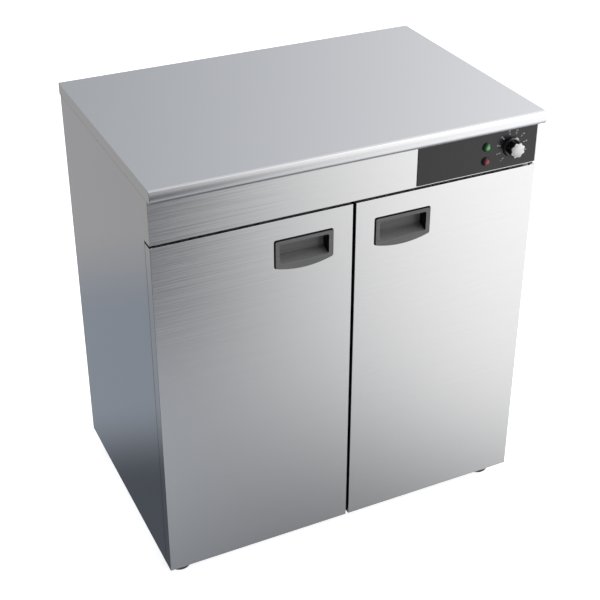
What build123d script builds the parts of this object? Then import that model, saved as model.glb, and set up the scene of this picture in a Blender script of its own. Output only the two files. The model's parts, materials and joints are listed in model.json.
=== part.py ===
from build123d import *
import os

os.makedirs("parts", exist_ok=True)

# Two-door plate warmer cabinet. Millimetres, +Z up, the doors face -Y.
# The origin is on the floor under the middle of the whole object.

# ---- Casing ----
top_width = 800.0
body_depth = 520.0  # front of the doors to the rear edge of the top
worktop_height = 900.0
foot_height = 38.0  # floor to the underside of the body
casing_sheet = 1.2
frame_wall = 1.5
liner_sheet = 1.0
seat_gap = 0.1  # play between sheets that slip over each other
overcut = 1.0  # a cutter runs this far past the face that it opens
rear_flange_width = 15.0
pan_flange_height = 20.0
screw_row_count = 4
screw_row_margin = 60.0
vent_length = 46.0
vent_width = 4.0
vent_columns = 5
vent_rows = 5
vent_pitch_x = 64.0
vent_pitch_z = 10.0

# ---- Top panel and its rounded nose ----
flange_height = 23.5
nose_reach = 19.4  # lower edge of the nose in front of the doors
nose_edge_reach = 15.0  # upper edge of the nose in front of the doors
nose_bulge = 3.0
nose_edge_radius = 5.0
top_edge_radius = 0.8

# ---- Fascia and control panel ----
fascia_drop = 113.5  # top surface down to the fascia's lower edge
panel_drop = 111.0  # top surface down to the control panel's lower edge
panel_width = 264.0
panel_inset = 4.1  # control panel in from the side of the body
panel_sheet = 1.5
panel_corner_radius = 2.5
knob_inset = 60.5  # knob axis in from the side of the body
knob_drop = 69.4
lamp_inset = 118.2
green_lamp_drop = 59.6
red_lamp_drop = 89.4

# ---- Doors ----
fascia_gap = 5.3  # fascia to the top of a door
door_gap = 6.2  # between the two doors
door_thickness = 25.0
door_sheet = 1.0
door_standoff = 1.5  # back of a door to the front frame
door_edge_radius = 0.8
hinge_inset = 6.0  # hinge axis in from the outer edge of a door
hinge_setback = 10.0  # hinge axis behind the front of a door
hinge_pin_radius = 3.0
running_gap = 0.05
bush_radius = 4.5
bush_flange_radius = 5.4
bush_flange = 0.5
bush_length = 12.0
bracket_sheet = 3.0
bracket_width = 16.0
bracket_gap = 0.3  # lower bush flange to the lower bracket
bracket_nose = 5.0  # lower bracket in front of the hinge axis
bracket_screw_setback = 6.0
bracket_screw_pitch = 8.0
pin_engagement = 11.0
gasket_width = 18.0
gasket_thickness = 1.2
gasket_inset = 4.0
gasket_hinge_gap = 1.0  # seal to the hinge axis
slab_gap = 0.5  # door insulation to the door's sheets
seal_reach = 2.2  # seal lip out of a door's free edge
seal_setback = 8.0
strike_width = 40.0
strike_height = 10.0
strike_gap = 0.4
catch_width = 46.0
catch_height = 14.0
catch_depth = 14.0
catch_offset = 60.0  # middle of the object to a catch
catch_setback = 2.0  # catch behind the face of the front frame

# ---- Door handles ----
handle_offset = 103.6  # middle of the object to the middle of a handle
handle_drop = 159.4
handle_width = 119.3
handle_side_height = 56.4
handle_sag = 9.9
handle_corner_radius = 4.5
handle_proud = 3.0
handle_edge_radius = 1.8
handle_lip = 3.0
pocket_side_margin = 9.4
pocket_top_margin = 8.4
pocket_height = 40.6
pocket_depth = 18.0
pocket_floor_rise = 8.0
pocket_draft = 1.2
pocket_corner_radius = 4.0
cup_wall = 2.0

# ---- Front frame and heated cavity ----
frame_depth = 18.0
post_width = 32.3
top_rail_height = 38.0
cavity_floor = 75.0
top_insulation = 25.0
back_insulation = 25.0
service_gap = 20.0
foot_inset = 37.0
foot_setback = 55.0  # front feet behind the front of the doors
rear_foot_margin = 52.0

# ---- Shelves ----
lower_shelf_rise = 260.0
upper_shelf_rise = 470.0
shelf_side_gap = 2.0
shelf_end_gap = 8.0
shelf_rear_gap = 24.0  # leaves room for the thermostat's bulb
shelf_lip = 18.0
rail_leg = 14.0
rail_height = 20.0
rail_end_gap = 14.0
rail_rear_gap = 42.0
slot_length = 80.0
slot_width = 8.0
slot_columns = 6
slot_rows = 9
slot_side_margin = 85.0  # side of the cavity to the middle of the first slot
slot_end_margin = 53.4  # end of the cavity to the middle of the first slot

# ---- Heating ----
element_radius = 4.25
element_rise = 22.0
element_legs = 6
element_leg_pitch = 92.0
element_bend_radius = 45.0
element_end_gap = 40.0
terminal_radius = 1.5
bush_bore_gap = 0.05
element_bush_radius = 7.0
element_bush_flange = 10.0
element_bracket_width = 12.0
element_bracket_overhang = 12.0
element_stub = 2.0  # element tube behind the rear insulation
cover_height = 45.0
cover_end_margin = 93.4  # end of the cavity to the middle of the cover's first slot
cover_slot_rows = 7
bulb_radius = 4.0
bulb_length = 90.0
bulb_inset = 145.0  # middle of the bulb to the knob's axis
bulb_drop = 40.0
bulb_standoff = 12.0  # bulb axis in front of the liner's back
clip_width = 6.0
clip_wall = 1.2
capillary_radius = 1.0
capillary_bend = 9.0
capillary_hole_radius = 3.0

# ---- Thermostat, knob and lamps ----
thermostat_size = 46.0
thermostat_depth = 36.0
thermostat_edge_radius = 3.0
thermostat_lead_offset = 16.0
collar_radius = 6.0
shaft_radius = 3.0
shaft_flat = 0.6
shaft_seat_depth = 18.0  # shaft inside the thermostat's body
shaft_engagement = 9.6  # shaft inside the knob's grip
knob_gap = 0.5
skirt_radius = 20.3
skirt_thickness = 4.0
skirt_edge_radius = 1.6
grip_radius = 15.6
grip_length = 14.0
cap_radius = 16.3
cap_thickness = 3.0
lobes = 8
lobe_cutter_radius = 7.0
lobe_depth = 2.1
lamp_barrel_radius = 6.9
lamp_barrel_length = 22.0
lamp_tab_pitch = 6.0
lamp_tab_sheet = 0.8
lamp_tab_width = 4.8
lamp_tab_length = 8.0
bezel_radius = 9.3
bezel_thickness = 1.0
lens_radius = 8.4
lens_rim = 1.2
lens_dome = 4.2

# ---- Electrical connection ----
gland_inset = 98.7  # gland in from the side of the body
gland_drop = 60.0
gland_bore_radius = 5.0
gland_thread_radius = 10.0
gland_hex_radius = 14.0
gland_hex_length = 7.2
gland_dome_radius = 11.2
gland_edge_radius = 2.0
gland_reach = 16.0
gland_nut = 6.0
gland_thread_run = 4.0  # thread past the nut
terminal_gap = 95.0  # middle of the terminal block to the gland
terminal_width = 60.0
terminal_height = 20.0
terminal_depth = 18.0
terminal_ways = 5
terminal_slot_width = 8.4
terminal_slot_depth = 4.0
terminal_slot_height = 10.0
wire_radius = 2.0
wire_bend = 14.0

# ---- Small hardware ----
screw_head_radius = 3.6
screw_head = 2.0
screw_radius = 2.0
screw_length = 8.0
screw_margin = 7.5
stem_radius = 5.0
stem_top_rise = 20.0
foot_pad_radius = 24.0
foot_pad_height = 9.0
foot_neck_radius = 16.0
nut_radius = 8.5
nut_height = 6.0
nut_clearance = 1.0

# ---- Places worked out from the sizes above ----
body_half = top_width / 2 - casing_sheet - seat_gap
inner_half = body_half - casing_sheet
under_top = worktop_height - casing_sheet - seat_gap
flange_bottom = worktop_height - flange_height
fascia_bottom = worktop_height - fascia_drop
door_bottom = foot_height
door_top = fascia_bottom - fascia_gap
door_free = door_gap / 2
cavity_half = inner_half - post_width - 2 * seat_gap
cavity_ceiling = fascia_bottom - top_rail_height
hinge_offset = body_half - hinge_inset

knob_reach = panel_sheet + knob_gap + skirt_thickness + grip_length + cap_thickness
rear_reach = body_depth - casing_sheet - seat_gap + gland_reach
front_y = (knob_reach - rear_reach) / 2
hinge_y = front_y + hinge_setback
door_back = front_y + door_thickness
frame_y = door_back + door_standoff
frame_back = frame_y + frame_depth
top_back = front_y + body_depth
back_outer = top_back - casing_sheet - seat_gap
back_inner = back_outer - casing_sheet
liner_back_y = back_inner - service_gap - back_insulation - 2 * seat_gap - liner_sheet
service_y = back_inner - service_gap / 2

liner_half = cavity_half + liner_sheet
liner_rear = liner_back_y + liner_sheet
insulation_top = cavity_ceiling + liner_sheet + seat_gap + top_insulation
pan_top = foot_height + casing_sheet
post_bottom = pan_top + seat_gap
cavity_middle_y = (frame_back + liner_back_y) / 2
cavity_depth = liner_back_y - frame_back
slot_pitch_x = 2 * (cavity_half - slot_side_margin) / (slot_columns - 1)

knob_x = body_half - knob_inset
knob_z = worktop_height - knob_drop
lamp_x = body_half - lamp_inset
gland_x = body_half - gland_inset
gland_z = worktop_height - gland_drop
terminal_x = gland_x - terminal_gap
bulb_x = knob_x - bulb_inset
bulb_y = liner_back_y - bulb_standoff
bulb_z = cavity_ceiling - bulb_drop
element_z = cavity_floor + element_rise
leg_x = [(k - (element_legs - 1) / 2) * element_leg_pitch for k in range(element_legs)]
legs = [leg_x[0], leg_x[-1]]  # the two legs that leave through the liner's back
capillary_x = bulb_x + bulb_length / 2 + 2 * capillary_bend
foot_x = body_half - foot_inset
front_foot_y = front_y + foot_setback
rear_foot_y = top_back - rear_foot_margin
foot_places = [(s * foot_x, y) for y in (front_foot_y, rear_foot_y) for s in (-1, 1)]

front_plane = Plane(origin=(0, front_y, 0), x_dir=(1, 0, 0), z_dir=(0, -1, 0))
rear_plane = Plane(origin=(0, back_outer, 0), x_dir=(-1, 0, 0), z_dir=(0, 1, 0))


def block(x, y, z, mode=Mode.ADD):
    """A box between two limits along each axis."""
    centre = ((x[0] + x[1]) / 2, (y[0] + y[1]) / 2, (z[0] + z[1]) / 2)
    with Locations(centre):
        Box(abs(x[1] - x[0]), abs(y[1] - y[0]), abs(z[1] - z[0]), mode=mode)


def keep(piece, name):
    """Names a finished piece and writes its file."""
    piece.part.label = name
    export_step(piece.part, f"parts/{name}.step")


def side_name(side):
    return "left" if side < 0 else "right"


# ---- Top panel: folded sheet with side and rear flanges and a rounded nose ----
nose_bottom = (front_y - nose_reach, flange_bottom)
nose_top = (front_y - nose_edge_reach, worktop_height)
nose_middle = (
    (nose_bottom[0] + nose_top[0]) / 2 - nose_bulge,
    (flange_bottom + worktop_height) / 2,
)
with BuildPart() as top_panel:
    with BuildSketch(Plane.YZ.offset(-top_width / 2)) as profile:
        with BuildLine():
            Polyline(nose_bottom, (top_back, flange_bottom), (top_back, worktop_height), nose_top)
            ThreePointArc(nose_top, nose_middle, nose_bottom)
        make_face()
        fillet(profile.vertices().group_by(Axis.Y)[-1].sort_by(Axis.X)[0], nose_edge_radius)
    extrude(amount=top_width)
    long_edges = top_panel.edges().filter_by(Axis.Y).group_by(Axis.Z)[-1]
    fillet(long_edges, top_edge_radius)
    with BuildSketch(Plane.YZ.offset(-top_width / 2 + casing_sheet)) as hollow:
        with BuildLine():
            Polyline(
                (nose_bottom[0] + casing_sheet, flange_bottom + casing_sheet),
                (front_y, flange_bottom + casing_sheet),
                (front_y, flange_bottom - casing_sheet),
                (top_back - casing_sheet, flange_bottom - casing_sheet),
                (top_back - casing_sheet, worktop_height - casing_sheet),
                (nose_top[0] + casing_sheet, worktop_height - casing_sheet),
            )
            ThreePointArc(
                (nose_top[0] + casing_sheet, worktop_height - casing_sheet),
                (nose_middle[0] + casing_sheet, nose_middle[1]),
                (nose_bottom[0] + casing_sheet, flange_bottom + casing_sheet),
            )
        make_face()
        fillet(hollow.vertices().group_by(Axis.Y)[-1].sort_by(Axis.X)[0], nose_edge_radius - casing_sheet)
    extrude(amount=top_width - 2 * casing_sheet, mode=Mode.SUBTRACT)
keep(top_panel, "top_panel")


# ---- Side panels: flat sheets with a rear flange for the back panel ----
screw_pitch = (under_top - foot_height - 2 * screw_row_margin) / (screw_row_count - 1)
screw_rows = [foot_height + screw_row_margin + row * screw_pitch for row in range(screw_row_count)]
screw_x = body_half - screw_margin


def side_panel(side):
    with BuildPart() as panel:
        block((side * inner_half, side * body_half), (frame_y, back_inner), (foot_height, under_top))
        block(
            (side * (body_half - rear_flange_width), side * body_half),
            (back_inner - casing_sheet, back_inner),
            (foot_height, under_top),
        )
        with Locations([Location((side * screw_x, back_inner, z), (90, 0, 0)) for z in screw_rows]):
            Cylinder(screw_radius + seat_gap, 6 * casing_sheet, mode=Mode.SUBTRACT)
    return panel


for side in (-1, 1):
    keep(side_panel(side), f"{side_name(side)}_side_panel")


# ---- Back panel with vent slots, screw holes and the gland hole ----
with BuildPart() as back_panel:
    block((-body_half, body_half), (back_inner, back_outer), (foot_height, under_top))
    with BuildSketch(rear_plane):
        with Locations((0, gland_z)):
            with GridLocations(vent_pitch_x, vent_pitch_z, vent_columns, vent_rows):
                SlotOverall(vent_length, vent_width)
        with Locations((-gland_x, gland_z)):
            Circle(gland_thread_radius + seat_gap)
        with Locations([(s * screw_x, z) for s in (-1, 1) for z in screw_rows]):
            Circle(screw_radius + seat_gap)
    extrude(amount=-2 * casing_sheet, mode=Mode.SUBTRACT)
keep(back_panel, "back_panel")


# ---- Base pan: a tray between the side panels, drilled for the feet ----
pan_half = inner_half - seat_gap
pan_rear = back_inner - casing_sheet - seat_gap
bracket_x = body_half - 0.5 * bracket_width - casing_sheet
bracket_screws = [frame_y + bracket_screw_setback + k * bracket_screw_pitch for k in range(2)]
with BuildPart() as base_pan:
    block((-pan_half, pan_half), (frame_y, pan_rear), (foot_height, pan_top))
    block(
        (-pan_half, pan_half),
        (frame_back + seat_gap, pan_rear),
        (foot_height, foot_height + pan_flange_height),
    )
    block(
        (-pan_half + casing_sheet, pan_half - casing_sheet),
        (frame_back, pan_rear - casing_sheet),
        (pan_top, foot_height + 2 * pan_flange_height),
        mode=Mode.SUBTRACT,
    )
    with Locations([(x, y, foot_height) for x, y in foot_places]):
        Cylinder(stem_radius + seat_gap, 4 * casing_sheet, mode=Mode.SUBTRACT)
    with Locations([(s * bracket_x, y, foot_height) for s in (-1, 1) for y in bracket_screws]):
        Cylinder(screw_radius + seat_gap, 4 * casing_sheet, mode=Mode.SUBTRACT)
keep(base_pan, "base_pan")


# ---- Front frame: two posts and two rails of folded tube ----
def front_post(side):
    inner = cavity_half + seat_gap
    outer = inner_half - seat_gap
    with BuildPart() as post:
        block((side * inner, side * outer), (frame_y, frame_back), (post_bottom, under_top))
        block(
            (side * (inner + frame_wall), side * (outer - frame_wall)),
            (frame_y + frame_wall, frame_back - frame_wall),
            (post_bottom - overcut, under_top + overcut),
            mode=Mode.SUBTRACT,
        )
    return post


def front_rail(low, high):
    with BuildPart() as rail:
        block((-cavity_half, cavity_half), (frame_y, frame_back), (low, high))
        block(
            (-cavity_half - overcut, cavity_half + overcut),
            (frame_y + frame_wall, frame_back - frame_wall),
            (low + frame_wall, high - frame_wall),
            mode=Mode.SUBTRACT,
        )
    return rail


for side in (-1, 1):
    keep(front_post(side), f"{side_name(side)}_front_post")
keep(front_rail(post_bottom, cavity_floor), "bottom_front_rail")
keep(front_rail(cavity_ceiling, fascia_bottom), "top_front_rail")


# ---- Fascia: a shallow box over the doors, open behind ----
panel_bottom = worktop_height - panel_drop
panel_right = body_half - panel_inset
panel_left = panel_right - panel_width
lamp_places = [(lamp_x, worktop_height - green_lamp_drop), (lamp_x, worktop_height - red_lamp_drop)]
with BuildPart() as front_fascia:
    block((-body_half, body_half), (front_y, frame_y), (fascia_bottom, under_top))
    lower_edge = front_fascia.edges().filter_by(Axis.X).group_by(Axis.Z)[0].sort_by(Axis.Y)[0]
    fillet(lower_edge, door_edge_radius)
    block(
        (-inner_half, inner_half),
        (front_y + casing_sheet, frame_y + overcut),
        (fascia_bottom + casing_sheet, under_top + overcut),
        mode=Mode.SUBTRACT,
    )
    with Locations([(s * hinge_offset, hinge_y, fascia_bottom) for s in (-1, 1)]):
        Cylinder(hinge_pin_radius + seat_gap, 4 * casing_sheet, mode=Mode.SUBTRACT)
    with BuildSketch(front_plane):
        with Locations(lamp_places):
            Circle(lamp_barrel_radius + seat_gap)
        with Locations((knob_x, knob_z)):
            Circle(collar_radius + seat_gap)
    extrude(amount=-2 * casing_sheet, mode=Mode.SUBTRACT)
keep(front_fascia, "front_fascia")

with BuildPart() as control_panel:
    with BuildSketch(front_plane):
        with BuildLine():
            Polyline(
                (panel_left, panel_bottom),
                (panel_left, flange_bottom - seat_gap),
                (panel_right, flange_bottom - seat_gap),
                (panel_right, panel_bottom),
                close=True,
            )
        make_face()
        with Locations(lamp_places):
            Circle(lamp_barrel_radius + seat_gap, mode=Mode.SUBTRACT)
        with Locations((knob_x, knob_z)):
            Circle(collar_radius + seat_gap, mode=Mode.SUBTRACT)
    extrude(amount=panel_sheet)
    corner = control_panel.edges().filter_by(Axis.Y).sort_by(Axis.X)[-2:].sort_by(Axis.Z)[0]
    fillet(corner, panel_corner_radius)
keep(control_panel, "control_panel")


# ---- Cavity liner: five sheets behind the front frame ----
with BuildPart() as liner_back:
    block(
        (-liner_half, liner_half),
        (liner_back_y, liner_rear),
        (cavity_floor - liner_sheet, cavity_ceiling + liner_sheet),
    )
    with Locations([Location((x, liner_rear, element_z), (90, 0, 0)) for x in legs]):
        Cylinder(element_bush_radius + seat_gap, 4 * liner_sheet, mode=Mode.SUBTRACT)
    with Locations(Location((capillary_x, liner_rear, bulb_z), (90, 0, 0))):
        Cylinder(capillary_hole_radius, 4 * liner_sheet, mode=Mode.SUBTRACT)
keep(liner_back, "liner_back")

for side in (-1, 1):
    with BuildPart() as liner_side:
        block(
            (side * cavity_half, side * liner_half),
            (frame_back + seat_gap, liner_back_y),
            (cavity_floor, cavity_ceiling),
        )
    keep(liner_side, f"liner_{side_name(side)}")

for name, low in (("liner_floor", cavity_floor - liner_sheet), ("liner_ceiling", cavity_ceiling)):
    with BuildPart() as liner_flat:
        block((-liner_half, liner_half), (frame_back + seat_gap, liner_back_y), (low, low + liner_sheet))
    keep(liner_flat, name)


# ---- Insulation: five slabs round the liner ----
slab_inner = liner_half + seat_gap
slab_outer = pan_half - casing_sheet - seat_gap
slab_front = frame_back + 2 * seat_gap
slab_rear = liner_rear + seat_gap
slab_low = pan_top + seat_gap
with BuildPart() as insulation:
    for side in (-1, 1):
        block((side * slab_inner, side * slab_outer), (slab_front, liner_rear), (slab_low, insulation_top))
    for z in (
        (cavity_ceiling + liner_sheet + seat_gap, insulation_top),
        (slab_low, cavity_floor - liner_sheet - seat_gap),
    ):
        block((-liner_half, liner_half), (slab_front, liner_rear), z)
    block((-slab_outer, slab_outer), (slab_rear, slab_rear + back_insulation), (slab_low, insulation_top))
    clear = nut_radius + nut_clearance
    for x, y in foot_places:
        near = slab_front - overcut if y == front_foot_y else y - clear
        block((x - clear, x + clear), (near, y + clear), (foot_height, cavity_floor), mode=Mode.SUBTRACT)
    with Locations([Location((x, slab_rear, element_z), (90, 0, 0)) for x in legs]):
        Cylinder(element_bush_radius + seat_gap, 3 * back_insulation, mode=Mode.SUBTRACT)
    with Locations(Location((capillary_x, slab_rear, bulb_z), (90, 0, 0))):
        Cylinder(capillary_hole_radius, 3 * back_insulation, mode=Mode.SUBTRACT)
keep(insulation, "insulation")


# ---- Shelves on angle rails ----
def shelf_slots(plane_z, rows, end_margin):
    pitch_y = (cavity_depth - 2 * end_margin) / (rows - 1)
    with BuildSketch(Plane.XY.offset(plane_z)) as slots:
        with Locations((0, cavity_middle_y)):
            with GridLocations(slot_pitch_x, pitch_y, slot_columns, rows):
                SlotOverall(slot_length, slot_width)
    return slots.sketch


def shelf(rise):
    top = cavity_floor + rise
    half = cavity_half - shelf_side_gap
    near = frame_back + shelf_end_gap
    far = liner_back_y - shelf_rear_gap
    with BuildPart() as sheet:
        block((-half, half), (near, far), (top - liner_sheet, top))
        for y in ((near, near + liner_sheet), (far - liner_sheet, far)):
            block((-half, half), y, (top - shelf_lip, top))
        slots = shelf_slots(top, slot_rows, slot_end_margin)
        extrude(slots, amount=-2 * liner_sheet, mode=Mode.SUBTRACT)
    return sheet


keep(shelf(lower_shelf_rise), "lower_shelf")
keep(shelf(upper_shelf_rise), "upper_shelf")

with BuildPart() as shelf_rails:
    rail_near = frame_back + rail_end_gap
    rail_far = liner_back_y - rail_rear_gap
    for rise in (lower_shelf_rise, upper_shelf_rise):
        seat = cavity_floor + rise - liner_sheet
        for side in (-1, 1):
            block(
                (side * (cavity_half - casing_sheet), side * cavity_half),
                (rail_near, rail_far),
                (seat - rail_height, seat),
            )
            block(
                (side * (cavity_half - rail_leg), side * cavity_half),
                (rail_near, rail_far),
                (seat - casing_sheet, seat),
            )
keep(shelf_rails, "shelf_rails")


# ---- Heating element: one bent tube on two brackets, under a slotted cover ----
bend_near = frame_back + element_end_gap
bend_far = liner_back_y - element_end_gap
element_end = slab_rear + back_insulation + element_stub
with BuildPart() as heating_element:
    turns = []
    for k, x in enumerate(leg_x):
        ends = [(x, bend_far), (x, bend_near)]
        turns += ends if k % 2 == 0 else ends[::-1]
    turns[0] = (leg_x[0], element_end)
    turns[-1] = (leg_x[-1], element_end)
    with BuildLine() as element_path:
        FilletPolyline(*[(x, y, element_z) for x, y in turns], radius=element_bend_radius)
    with BuildSketch(Plane(origin=element_path.line @ 0, z_dir=element_path.line % 0)):
        Circle(element_radius)
    sweep()
    for x in legs:
        with Locations(Location((x, (element_end + service_y) / 2, element_z), (90, 0, 0))):
            Cylinder(terminal_radius, service_y - element_end + 2 * terminal_radius)
keep(heating_element, "heating_element")

with BuildPart() as element_bushes:
    bush_end = slab_rear + back_insulation
    for x in legs:
        with Locations(Location((x, (liner_back_y + bush_end) / 2, element_z), (90, 0, 0))):
            Cylinder(element_bush_radius, bush_end - liner_back_y)
        with Locations(Location((x, liner_back_y - liner_sheet, element_z), (90, 0, 0))):
            Cylinder(element_bush_flange, 2 * liner_sheet)
        with Locations(Location((x, liner_back_y, element_z), (90, 0, 0))):
            Cylinder(element_radius + bush_bore_gap, 4 * back_insulation, mode=Mode.SUBTRACT)
keep(element_bushes, "element_bushes")

saddle_top = element_z - element_radius - running_gap
with BuildPart() as element_brackets:
    saddle_half = leg_x[-1] + element_bracket_overhang
    saddle_inset = element_bend_radius + element_end_gap
    for y in (bend_near + saddle_inset, bend_far - saddle_inset):
        near, far = y - element_bracket_width / 2, y + element_bracket_width / 2
        block((-saddle_half, saddle_half), (near, far), (cavity_floor, saddle_top))
        block(
            (-saddle_half + casing_sheet, saddle_half - casing_sheet),
            (near - overcut, far + overcut),
            (cavity_floor - overcut, saddle_top - casing_sheet),
            mode=Mode.SUBTRACT,
        )
keep(element_brackets, "element_brackets")

with BuildPart() as element_cover:
    cover_top = cavity_floor + cover_height
    cover_half = cavity_half - shelf_side_gap
    near = frame_back + shelf_side_gap
    far = liner_back_y - 2 * shelf_side_gap
    block((-cover_half, cover_half), (near, far), (cover_top - liner_sheet, cover_top))
    for y in ((near, near + liner_sheet), (far - liner_sheet, far)):
        block((-cover_half, cover_half), y, (cavity_floor, cover_top))
    slots = shelf_slots(cover_top, cover_slot_rows, cover_end_margin)
    extrude(slots, amount=-2 * liner_sheet, mode=Mode.SUBTRACT)
    notch = element_bush_radius
    for x in legs:
        block(
            (x - notch, x + notch),
            (far - 2 * liner_sheet, far),
            (cavity_floor, element_z + notch),
            mode=Mode.SUBTRACT,
        )
keep(element_cover, "element_cover")


# ---- Thermostat: body, shaft, and its capillary bulb in the cavity ----
thermostat_front = front_y + casing_sheet + seat_gap
thermostat_rear = thermostat_front + thermostat_depth
shaft_end = front_y - panel_sheet - knob_gap - skirt_thickness - shaft_engagement
shaft_seat = thermostat_front + shaft_seat_depth
half = thermostat_size / 2
with BuildPart() as thermostat_body:
    block(
        (knob_x - half, knob_x + half),
        (thermostat_front, thermostat_rear),
        (knob_z - half, knob_z + half),
    )
    fillet(thermostat_body.edges().filter_by(Axis.Y), thermostat_edge_radius)
    with BuildSketch(front_plane):
        with Locations((knob_x, knob_z)):
            Circle(collar_radius)
    extrude(amount=-(thermostat_front - front_y + overcut))
    with BuildSketch(front_plane):
        with Locations((knob_x, knob_z)):
            Circle(collar_radius)
    extrude(amount=panel_sheet)
    with BuildSketch(front_plane.offset(panel_sheet + overcut)):
        with Locations((knob_x, knob_z)):
            Circle(shaft_radius + running_gap)
    extrude(amount=-(shaft_seat - front_y + panel_sheet + overcut + seat_gap), mode=Mode.SUBTRACT)
keep(thermostat_body, "thermostat_body")

with BuildPart() as thermostat_shaft:
    with BuildSketch(Plane(origin=(0, shaft_seat, 0), x_dir=(1, 0, 0), z_dir=(0, -1, 0))):
        with Locations((knob_x, knob_z)):
            Circle(shaft_radius)
    extrude(amount=shaft_seat - shaft_end)
    flat_z = knob_z + shaft_radius - shaft_flat
    block(
        (knob_x - shaft_radius, knob_x + shaft_radius),
        (shaft_end, front_y - panel_sheet - knob_gap),
        (flat_z, knob_z + 2 * shaft_radius),
        mode=Mode.SUBTRACT,
    )
keep(thermostat_shaft, "thermostat_shaft")

capillary_entry_z = knob_z - thermostat_lead_offset
with BuildPart() as capillary_bulb:
    with Locations(Location((bulb_x, bulb_y, bulb_z), (0, 90, 0))):
        Cylinder(bulb_radius, bulb_length)
    with BuildLine() as capillary_path:
        FilletPolyline(
            (bulb_x + bulb_length / 2, bulb_y, bulb_z),
            (capillary_x, bulb_y, bulb_z),
            (capillary_x, service_y, bulb_z),
            (capillary_x, service_y, capillary_entry_z),
            (knob_x, thermostat_rear + 5 * capillary_bend, capillary_entry_z),
            (knob_x, thermostat_rear, capillary_entry_z),
            radius=capillary_bend,
        )
    with BuildSketch(Plane(origin=capillary_path.line @ 0, z_dir=capillary_path.line % 0)):
        Circle(capillary_radius)
    sweep()
keep(capillary_bulb, "capillary_bulb")

with BuildPart() as bulb_clips:
    for x in (bulb_x - bulb_length / 3, bulb_x + bulb_length / 3):
        with Locations(Location((x, bulb_y, bulb_z), (0, 90, 0))):
            Cylinder(bulb_radius + bush_bore_gap + clip_wall, clip_width)
        block(
            (x - clip_width / 2, x + clip_width / 2),
            (bulb_y, liner_back_y),
            (bulb_z - bulb_radius, bulb_z + bulb_radius),
        )
        with Locations(Location((x, bulb_y, bulb_z), (0, 90, 0))):
            Cylinder(bulb_radius + bush_bore_gap, 2 * clip_width, mode=Mode.SUBTRACT)
keep(bulb_clips, "bulb_clips")


# ---- Knob: black skirt and fluted grip, with a bright lobed end cap ----
def lobed_disc(radius):
    Circle(radius)
    with PolarLocations(radius + lobe_cutter_radius - lobe_depth, lobes):
        Circle(lobe_cutter_radius, mode=Mode.SUBTRACT)


skirt_front = front_plane.offset(panel_sheet + knob_gap + skirt_thickness)
with BuildPart() as knob_grip:
    with BuildSketch(skirt_front):
        with Locations((knob_x, knob_z)):
            Circle(skirt_radius)
    extrude(amount=-skirt_thickness)
    fillet(knob_grip.edges().group_by(Axis.Y)[0], skirt_edge_radius)
    with BuildSketch(skirt_front):
        with Locations((knob_x, knob_z)):
            lobed_disc(grip_radius)
    extrude(amount=grip_length)
    with BuildSketch(front_plane):
        with Locations((knob_x, knob_z)):
            Circle(shaft_radius + running_gap)
    extrude(amount=front_y - shaft_end + running_gap, mode=Mode.SUBTRACT)
keep(knob_grip, "knob_grip")

with BuildPart() as knob_cap:
    with BuildSketch(skirt_front.offset(grip_length)):
        with Locations((knob_x, knob_z)):
            lobed_disc(cap_radius)
    extrude(amount=cap_thickness)
keep(knob_cap, "knob_cap")


# ---- Pilot lamps: a threaded barrel with a bezel, and a domed lens ----
lamp_rear = front_y + lamp_barrel_length - panel_sheet


def lamp_parts(x, z):
    face = front_plane.offset(panel_sheet)
    with BuildPart() as body:
        with BuildSketch(face):
            with Locations((x, z)):
                Circle(bezel_radius)
        extrude(amount=bezel_thickness)
        with BuildSketch(face):
            with Locations((x, z)):
                Circle(lamp_barrel_radius)
        extrude(amount=-lamp_barrel_length)
        for tab in (-1, 1):
            middle = x + tab * lamp_tab_pitch / 2
            block(
                (middle - lamp_tab_sheet / 2, middle + lamp_tab_sheet / 2),
                (lamp_rear - overcut, lamp_rear + lamp_tab_length),
                (z - lamp_tab_width / 2, z + lamp_tab_width / 2),
            )
    dome_radius = (lens_radius**2 + lens_dome**2) / (2 * lens_dome)
    lens_back = face.offset(bezel_thickness)
    with BuildPart() as lens:
        with BuildSketch(lens_back):
            with Locations((x, z)):
                Circle(lens_radius)
        extrude(amount=lens_rim + lens_dome)
        with Locations((x, lens_back.origin.Y - lens_rim - lens_dome + dome_radius, z)):
            Sphere(dome_radius, mode=Mode.INTERSECT)
    return body, lens


for colour, place in zip(("green", "red"), lamp_places):
    lamp_body, lamp_lens = lamp_parts(*place)
    keep(lamp_body, f"{colour}_lamp_body")
    keep(lamp_lens, f"{colour}_lamp_lens")


# ---- Electrical connection: gland, terminal block and wiring ----
with BuildPart() as cable_gland:
    with BuildSketch(rear_plane):
        with Locations((-gland_x, gland_z)):
            RegularPolygon(gland_hex_radius, 6)
    extrude(amount=gland_hex_length)
    with BuildSketch(rear_plane):
        with Locations((-gland_x, gland_z)):
            Circle(gland_dome_radius)
    extrude(amount=gland_reach)
    fillet(cable_gland.edges().group_by(Axis.Y)[-1], gland_edge_radius)
    with BuildSketch(rear_plane):
        with Locations((-gland_x, gland_z)):
            Circle(gland_thread_radius)
    extrude(amount=-(casing_sheet + gland_nut + gland_thread_run))
    with BuildSketch(rear_plane.offset(-casing_sheet)):
        with Locations((-gland_x, gland_z)):
            RegularPolygon(gland_hex_radius, 6)
    extrude(amount=-gland_nut)
    with BuildSketch(rear_plane.offset(gland_reach + overcut)):
        with Locations((-gland_x, gland_z)):
            Circle(gland_bore_radius)
    bore_length = gland_reach + casing_sheet + gland_nut + gland_thread_run
    extrude(amount=-(bore_length + 2 * overcut), mode=Mode.SUBTRACT)
keep(cable_gland, "cable_gland")

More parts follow.
